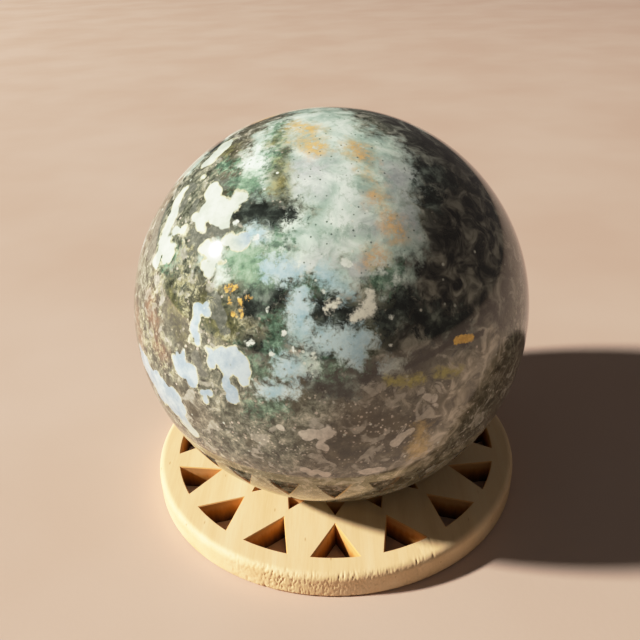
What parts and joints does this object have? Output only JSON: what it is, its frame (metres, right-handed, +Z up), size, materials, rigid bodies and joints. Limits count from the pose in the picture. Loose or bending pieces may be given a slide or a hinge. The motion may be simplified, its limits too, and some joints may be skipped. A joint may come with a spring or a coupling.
{
  "type": "decorative stone sphere on a wooden ring stand",
  "caption": "Polished moss agate sphere resting in the round seat of a flat wooden ring stand pierced with a sunburst of triangles.",
  "frame": {"origin": "centre of the stand's underside, on the surface that the ornament stands on", "axes": "+Z up through the centres of the stand and the sphere; -Y towards the viewer, through the middle of one pierced ray and along the wood's grain"},
  "size_m": [0.08, 0.08, 0.0796],
  "materials": {
    "polished_agate": "high polish",
    "pale_wood": "sanded, unvarnished, laser-cut openings with scorched walls"
  },
  "bodies": {
    "root": {"stone_sphere": "polished_agate", "wooden_ring_stand": "pale_wood"}
  },
  "joints": []
}
